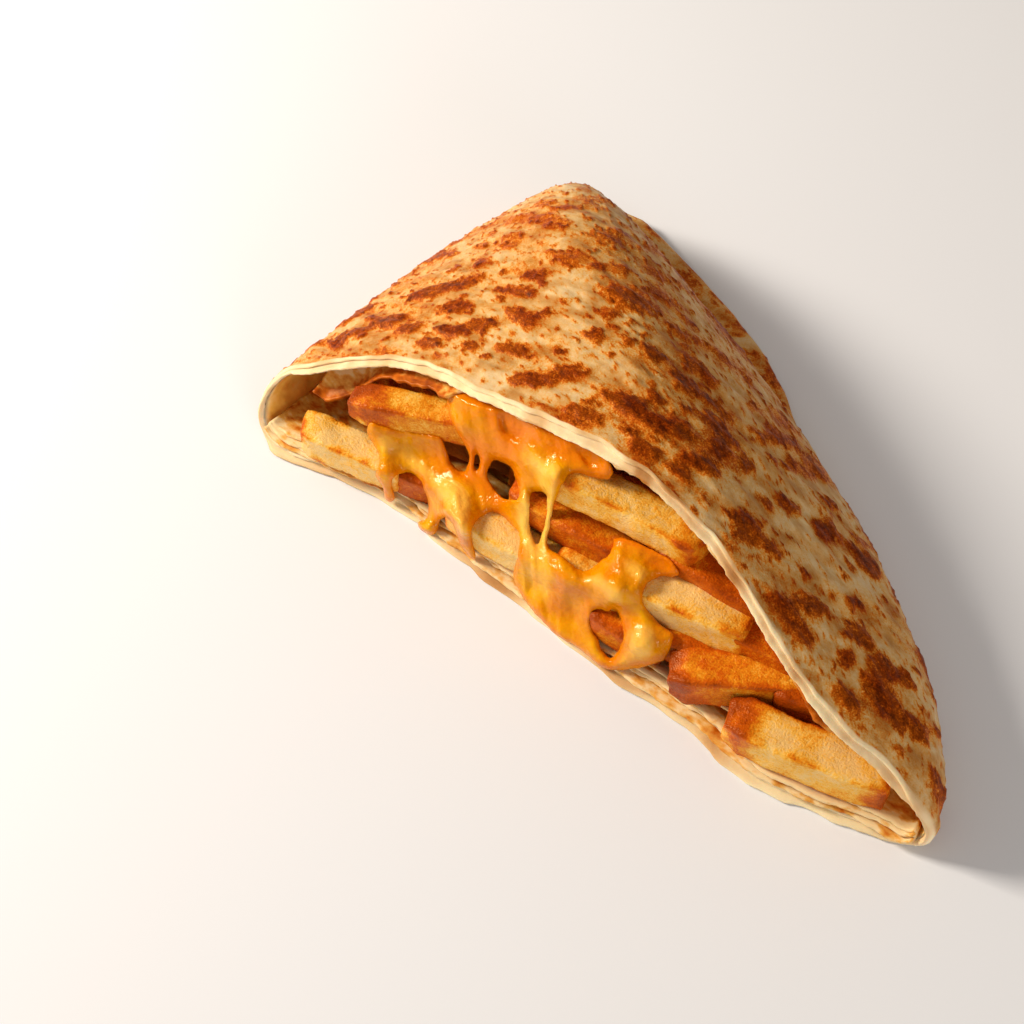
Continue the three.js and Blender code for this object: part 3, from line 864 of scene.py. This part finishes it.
def neighbours_mean(values, covered):
    """The mean of each cell's four neighbours, without those that the cheese doesn't cover."""
    total, count = np.zeros_like(values), np.zeros_like(values)
    for axis in (0, 1):
        for shift in (-1, 1):
            near = np.roll(covered, shift, axis)
            total += np.where(near, np.roll(values, shift, axis), 0)
            count += near
    return np.where(count > 0, total / np.maximum(count, 1), values)


def half_smoothed(values, covered, rounds):
    """Smooths the cells a little in each round."""
    for _ in range(rounds):
        values = 0.5 * values + 0.5 * neighbours_mean(values, covered)
    return values


def cheese_field():
    """Distance inwards from the cheese's edges over the cut, as rows of z and columns of x."""
    x, z = np.meshgrid(FIELD_X, FIELD_Z)
    places = np.stack([x.ravel(), z.ravel()], axis=-1)
    outer_edge = inside_distance(places, smooth_loop(CHEESE_EDGE)).reshape(x.shape)
    inside = half_smoothed(outer_edge, np.ones(x.shape, bool), BLUNT).ravel()
    for hole in CHEESE_HOLES:
        inside = np.minimum(inside, -inside_distance(places, smooth_loop(hole)))
    on_cut = np.stack([places[:, 0], places[:, 1], 0 * places[:, 0]], axis=-1)
    return (inside + 0.22 * ruffle(on_cut, 2.2, 2, 71)).reshape(x.shape)


CHEESE_FIELD = cheese_field()


def cheese_depth_of_edge(x, z):
    """The distance inwards from the cheese's nearest edge at places on the cut."""
    column = np.clip(np.rint((x - FIELD_X[0]) / CHEESE_CELL).astype(int), 0, len(FIELD_X) - 1)
    row = np.clip(np.rint((z - FIELD_Z[0]) / CHEESE_CELL).astype(int), 0, len(FIELD_Z) - 1)
    return CHEESE_FIELD[row, column]


def seen_on_cut(points):
    """Where points lie on the cut when they are looked at along the way the cheese is laid."""
    moved = points.copy()
    for _ in range(8):  # each round closes most of what is left of the way
        behind = moved[:, 1] - cut_face(moved[:, 0], moved[:, 2])
        moved += LAID_FROM * (behind / 0.75)[:, None]
    return moved[:, 0], moved[:, 2]


def resting_depth(on_cut, supports):
    """How far behind the cut a straight line along LAID_FROM first meets what the cheese lies on."""
    above = on_cut + LAID_FROM * LINE
    towards = Vector(-LAID_FROM)
    depth = np.full(len(on_cut), DEEPEST)
    for number, start in enumerate(above):
        length = supports.ray_cast(Vector(start), towards)[3]
        if length is not None:
            depth[number] = min(length - LINE, DEEPEST)
    return depth


def ceiling_depth(on_cut):
    """How far behind the cut a line along LAID_FROM comes out under the bread's top layers."""
    under = np.full(len(on_cut), -99.0)  # where no bread lies over the line
    for step in np.arange(-12, 24, 0.3):
        x, y, z = (on_cut - LAID_FROM * step).T
        in_bread = (y > cut_face(x, z)) & (z > arch_height(x) - WRAP - SHEET - 1.2)
        under = np.where(in_bread, step, under)
    return under


def cheese_ribs(on_cut):
    """Low folds all over, and stronger ones down the foot, where the cheese was pulled."""
    drawn = on_cut @ np.array([[1, 0, 0], [0, 1, 0], [0.5, 0, 1]])
    pulled = (on_cut[:, 0] > -17) & (on_cut[:, 0] < 7) & (on_cut[:, 2] < 17)
    streaks = ruffle(drawn, (2.0, 40, 14), 2, 72) * np.where(pulled, 0.6, 0.3)
    return streaks + ruffle(on_cut, 4.5, 2, 73) * 0.5


def amber_light_and_shade(x, z, front, inside, swell, ribs):
    """How amber the cheese is: amber where sunk in and darker at its edges, as painted shade, and pale in
    bulges as painted light and in strings as thin drawn cheese.
    """
    in_strings = round_bump(x, z, *STRINGS)
    foot = round_bump(x, z, *FOOT)
    rim_shade = (1 - smoothstep(inside, 0.4, 1.8)) * (1 - in_strings)
    # Painted shade: more amber where the cheese lies further back, and at its edges.
    deep = 0.36 + 0.6 * smoothstep(front, -2.0, 3.0) * (1 - foot) + 0.35 * rim_shade
    # Painted light: paler on the bulges. The strings are pale as thin drawn cheese is, and the foot is
    # paler, with streaks along its folds.
    deep -= 0.3 * smoothstep(swell, 0.6, 2.6) + 0.9 * in_strings + foot * (0.08 + 0.2 * ribs)
    return np.clip(deep, 0, 1)


def blanket(mesh, front, back, keep):
    """Turns a flat grid into a closed, soft blanket between its front and back points."""
    bm = bmesh.new()
    bm.from_mesh(mesh)
    bm.verts.ensure_lookup_table()
    behind = bm.verts.layers.float_vector.new("behind")
    for vertex, ahead, aback in zip(bm.verts, front, back):
        vertex.co = ahead
        vertex[behind] = aback
    bmesh.ops.delete(bm, geom=[v for v, kept in zip(bm.verts, keep) if not kept], context="VERTS")
    made = bmesh.ops.extrude_face_region(bm, geom=bm.faces[:])["geom"]
    for vertex in (part for part in made if isinstance(part, bmesh.types.BMVert)):
        vertex.co = vertex[behind]
    every_way = {"use_axis_x": True, "use_axis_y": True, "use_axis_z": True}
    for _ in range(3):
        bmesh.ops.smooth_vert(bm, verts=bm.verts, factor=0.5, **every_way)
    bm.to_mesh(mesh)
    bm.free()
    return tidy_mesh(mesh)


def melted_cheese(supports):
    """The blanket of cheese, sagging between what it lies on, with swellings, folds, holes and strings."""
    shape = CHEESE_FIELD.shape
    slope_z, slope_x = np.gradient(CHEESE_FIELD, CHEESE_CELL)
    short = np.clip(-CHEESE_FIELD, 0, CHEESE_CELL * 1.5)  # the outermost points are moved onto the edge
    x, z = np.meshgrid(FIELD_X, FIELD_Z)
    x, z = x + slope_x * short, z + slope_z * short
    on_cut = np.stack([x, cut_face(x, z), z], axis=-1).reshape(-1, 3)
    covered = CHEESE_FIELD > -CHEESE_CELL
    inside = np.clip(CHEESE_FIELD, 0, None)

    above_floor = (z - 0.5) / LAID_FROM[2]
    rest = np.minimum(resting_depth(on_cut, supports).reshape(shape), above_floor)
    depth = rest
    for _ in range(STRETCH):
        depth = np.minimum(rest, neighbours_mean(depth, covered))
    depth = half_smoothed(depth, covered, SOFTEN)

    thickness = CHEESE_THICKNESS * np.sqrt(1 - (1 - np.clip(inside / EDGE_ROUND, 0, 1)) ** 2)
    swell = sum(out * round_bump(x, z, at, reach) for at, reach, out in CHEESE_BULGES)
    ribs = cheese_ribs(on_cut).reshape(shape)
    front = depth - thickness - swell * np.clip(inside / 2, 0, 1) + ribs * np.clip(inside / 1.5, 0, 1)
    front = np.minimum(front, rest - 0.2 * np.clip(inside, 0, 1))
    front = np.maximum(front, ceiling_depth(on_cut).reshape(shape) + 0.5)
    back = np.minimum(front + 2 * thickness + THINNEST, above_floor + THINNEST)
    back = np.maximum(front + THINNEST, back)

    mesh, column, row = grid(shape[1] - 1, shape[0] - 1)
    cell = row * shape[1] + column
    paint(mesh, "deep", amber_light_and_shade(x, z, front, inside, swell, ribs).ravel()[cell])
    sides = ((on_cut - LAID_FROM * side.reshape(-1, 1))[cell] for side in (front, back))
    return blanket(mesh, *sides, covered.ravel()[cell])


# ---------------------------------------------------------------- inner sheets
STRIP_ROWS = 46
STRIP_FROM, STRIP_TO = 0.16 * math.pi, 0.93 * math.pi  # the part of the arch that it lies under
STRIP_BACK = 0.26  # share of the depth where it ends, out of sight


def top_sheet():
    """The inner flatbread under the top: a browned strip that sags left and juts out right."""
    angles = even_angles(True, 0.8, STRIP_FROM, STRIP_TO)
    mesh, column, row = grid(len(angles) - 1, STRIP_ROWS)
    angle = angles[column]
    x = -HALF * np.cos(angle)
    left = 1 - smoothstep(x, -48, -40)
    right = bump(x, 66.0, 8.0, 1.0)
    start = 0.004 * left + 0.022 * (1 - left) - 0.034 * right
    t = row / STRIP_ROWS
    v = start + (STRIP_BACK - start) * t
    flat = outline(angle, np.ones(len(x), bool), WRAP + GAP + SHEET / 2, v)
    front = 1 - smoothstep(t, 0.0, 0.45)
    sag = 5.2 * (1 - smoothstep(x, -75, -66)) * smoothstep(x, -87, -79) + 1.6 * left
    flat[:, 2] -= sag * front + 0.4 * front * (1 + ruffle(flat, (8, 30, 30), 2, 21))
    flat[:, 1] -= 1.3 * left * front
    torn = 1.2 * ruffle(flat, (7, 30, 30), 3, 22) + 0.4 * ruffle(flat, (1.5, 30, 30), 2, 23)
    flat[:, 1] += front * torn
    move_to(mesh, flat)
    browned = np.clip(left + right, 0, 1)
    paint(mesh, "fried", np.clip(0.52 * browned * (1 - smoothstep(t, 0.03, 0.3)) + 0.12 * front, 0, 1))
    return tidy_mesh(mesh, thickness=SHEET * 0.8)


# How high the leaves under the chips are piled at places along the cut, and how far each stands back.
LEAF_PILE = [
    (-84, 3.4), (-60, 5.0), (-30, 6.2), (-8, 6.4), (10, 4.4), (32, 5.8), (45, 6.6), (57, 4.2), (84, 3.9),
]
LEAF_STEPS = [-0.6, 0.8, 0.0, 1.4]
PILE_ROWS = 26
PILE_FROM, PILE_TO = 0.06 * math.pi, 0.96 * math.pi
PILE_BACK = 0.2  # share of the depth where they end, out of sight
FLAKE = 0.55  # thickness of a leaf


def bottom_leaves():
    """Thin flaky leaves of the inner flatbread under the chips, each with its own torn edge."""
    leaves = []
    pile_x, pile_z = zip(*LEAF_PILE)
    angles = even_angles(False, 0.9, PILE_FROM, PILE_TO)
    for number, back in enumerate(LEAF_STEPS):
        mesh, column, row = grid(len(angles) - 1, PILE_ROWS)
        t = row / PILE_ROWS
        start = back / DEPTH
        depth = WRAP + 0.35 + 0.2 * number
        flat = outline(angles[column], np.zeros(len(t), bool), depth, start + (PILE_BACK - start) * t)
        front = 1 - smoothstep(t, 0.0, 0.35)
        top = np.interp(flat[:, 0], pile_x, pile_z) - WRAP - 0.5
        share = number / (len(LEAF_STEPS) - 1)
        lift = top * share * (0.85 + 0.3 * ruffle(flat, (14, 30, 30), 2, 51 + number))
        flat[:, 1] += (cut_face(flat[:, 0], lift) - cut_face(flat[:, 0], 0)) * (1 - t)
        torn = 1.1 * ruffle(flat, (12, 30, 30), 2, 31 + number)
        torn += 0.3 * ruffle(flat, (1.8, 30, 30), 2, 41 + number)
        flat[:, 1] += front * torn
        flat[:, 2] += front * (lift + 0.3 * ruffle(flat, (9, 30, 30), 2, 61 + number))
        move_to(mesh, flat)
        edge_tone = 0.15 * (number == 0) + 0.20 * ruffle(flat, (8, 4, 4), 2, 65 + number)
        # Browner further back, in under the chips.
        paint(mesh, "fried", np.clip(0.08 + edge_tone * front + 0.3 * smoothstep(t, 0.04, 0.2), 0, 1))
        leaves.append(tidy_mesh(mesh, thickness=FLAKE))
    return join_meshes(leaves, "leaves")


# ---------------------------------------------------------------- putting it together
FURTHEST_SUPPORT = 40.0  # the cheese reaches nothing behind this,
BREAD_SUPPORT = 7.0  # and of the outer wrap it lies only on what is lower than this


def supports_of(wrap, *others):
    """What the cheese can lie on: the low front of the wrap, and the front of the other meshes."""
    bm = bmesh.new()
    bm.from_mesh(wrap)
    bmesh.ops.delete(bm, geom=[v for v in bm.verts if v.co.z > BREAD_SUPPORT], context="VERTS")
    for mesh in others:
        bm.from_mesh(mesh)
    bmesh.ops.delete(bm, geom=[v for v in bm.verts if v.co.y > FURTHEST_SUPPORT], context="VERTS")
    tree = BVHTree.FromBMesh(bm)
    bm.free()
    return tree


def filled_wrap():
    """Makes every piece of the wedge; the cheese is shaped last, because it lies on the others."""
    wrap, strip, leaves = outer_wrap(), top_sheet(), bottom_leaves()
    sticks, core = chips(), chip_core()
    cheese = melted_cheese(supports_of(wrap, leaves, sticks, core))
    piece("toasted_wrap", wrap, TOASTED, "wrap", "outer_wrap")
    piece("lower_leaf", lower_leaf(), TOASTED, "wrap", "outer_wrap")
    piece("inner_top", strip, INNER, "inner_sheet", "inner_top_sheet")
    piece("inner_leaves", leaves, INNER, "inner_sheet", "inner_bottom_sheet")
    piece("chips", sticks, POTATO, "chips", "chip_filling")
    piece("chip_core", core, POTATO, "chips", "chip_filling")
    piece("melted_cheese_sheet", cheese, CHEDDAR, "cheese", "melted_cheese")


filled_wrap()

# ---------------------------------------------------------------- floor, light and camera
FLOOR_HALF, FLOOR_DROP = 4.0, 0.0002  # metres; it lies a hair below the underside
AZIMUTH, ELEVATION, ROLL = math.radians(40.8), math.radians(55.4), math.radians(-3.5)
CAMERA_DISTANCE = 439.0
FOCAL_LENGTH, SENSOR_WIDTH = 65, 36
LOOK_AT = Vector((-27.6, 15.0, 1.8))


def floor():
    bm = bmesh.new()
    bmesh.ops.create_grid(bm, x_segments=1, y_segments=1, size=FLOOR_HALF)
    mesh = mesh_of(bm, "floor")
    mesh.materials.append(pale_backdrop())
    made = place("floor", mesh)
    made.location.z = -FLOOR_DROP


def camera_axes():
    """The camera's right, its up, and the way from what it looks at back to it."""
    level = Vector((math.cos(AZIMUTH), math.sin(AZIMUTH), 0))
    away = Vector((math.sin(AZIMUTH), -math.cos(AZIMUTH), 0)) * math.cos(ELEVATION)
    back = away + Vector((0, 0, math.sin(ELEVATION)))
    upright = back.cross(level)
    right = math.cos(ROLL) * level + math.sin(ROLL) * upright
    up = -math.sin(ROLL) * level + math.cos(ROLL) * upright
    return right, up, back


def camera():
    right, up, back = camera_axes()
    lens = bpy.data.cameras.new("camera")
    lens.lens = FOCAL_LENGTH
    lens.sensor_width = SENSOR_WIDTH
    lens.clip_start = 0.01
    turn = Matrix((right, up, back)).transposed().to_4x4()
    eye = (LOOK_AT + back * CAMERA_DISTANCE + Vector(ORIGIN)) * MM
    made = place("camera", lens)
    made.matrix_world = Matrix.Translation(eye) @ turn
    bpy.context.scene.camera = made


def softbox(name, towards, distance, size, power, tint="#ffffff"):
    """A square lamp that faces the food from the given direction; distance and size are in metres."""
    lamp = bpy.data.lights.new(name, "AREA")
    lamp.size = size
    lamp.energy = power
    lamp.color = linear(tint)[:3]
    aim = towards.normalized()
    turn = aim.to_track_quat("Z", "Y").to_matrix().to_4x4()
    place(name, lamp).matrix_world = Matrix.Translation(aim * distance) @ turn


def studio():
    """A small warm key from the upper left, a broad fill from the front, and a dim warm room."""
    right, up, back = camera_axes()
    softbox("key", -0.86 * right + 0.50 * up + 0.26 * back, 0.9, 0.22, 10.2, "#fff1dc")
    softbox("fill", 0.30 * right - 0.62 * up + 0.70 * back, 1.2, 0.5, 4.2)
    world = bpy.data.worlds.new("studio")
    world.use_nodes = True
    room = world.node_tree.nodes["Background"]
    room.inputs["Color"].default_value = linear("#fff0dc")
    room.inputs["Strength"].default_value = 0.37
    bpy.context.scene.world = world
    bpy.context.scene.view_settings.view_transform = "Standard"


floor()
camera()
studio()
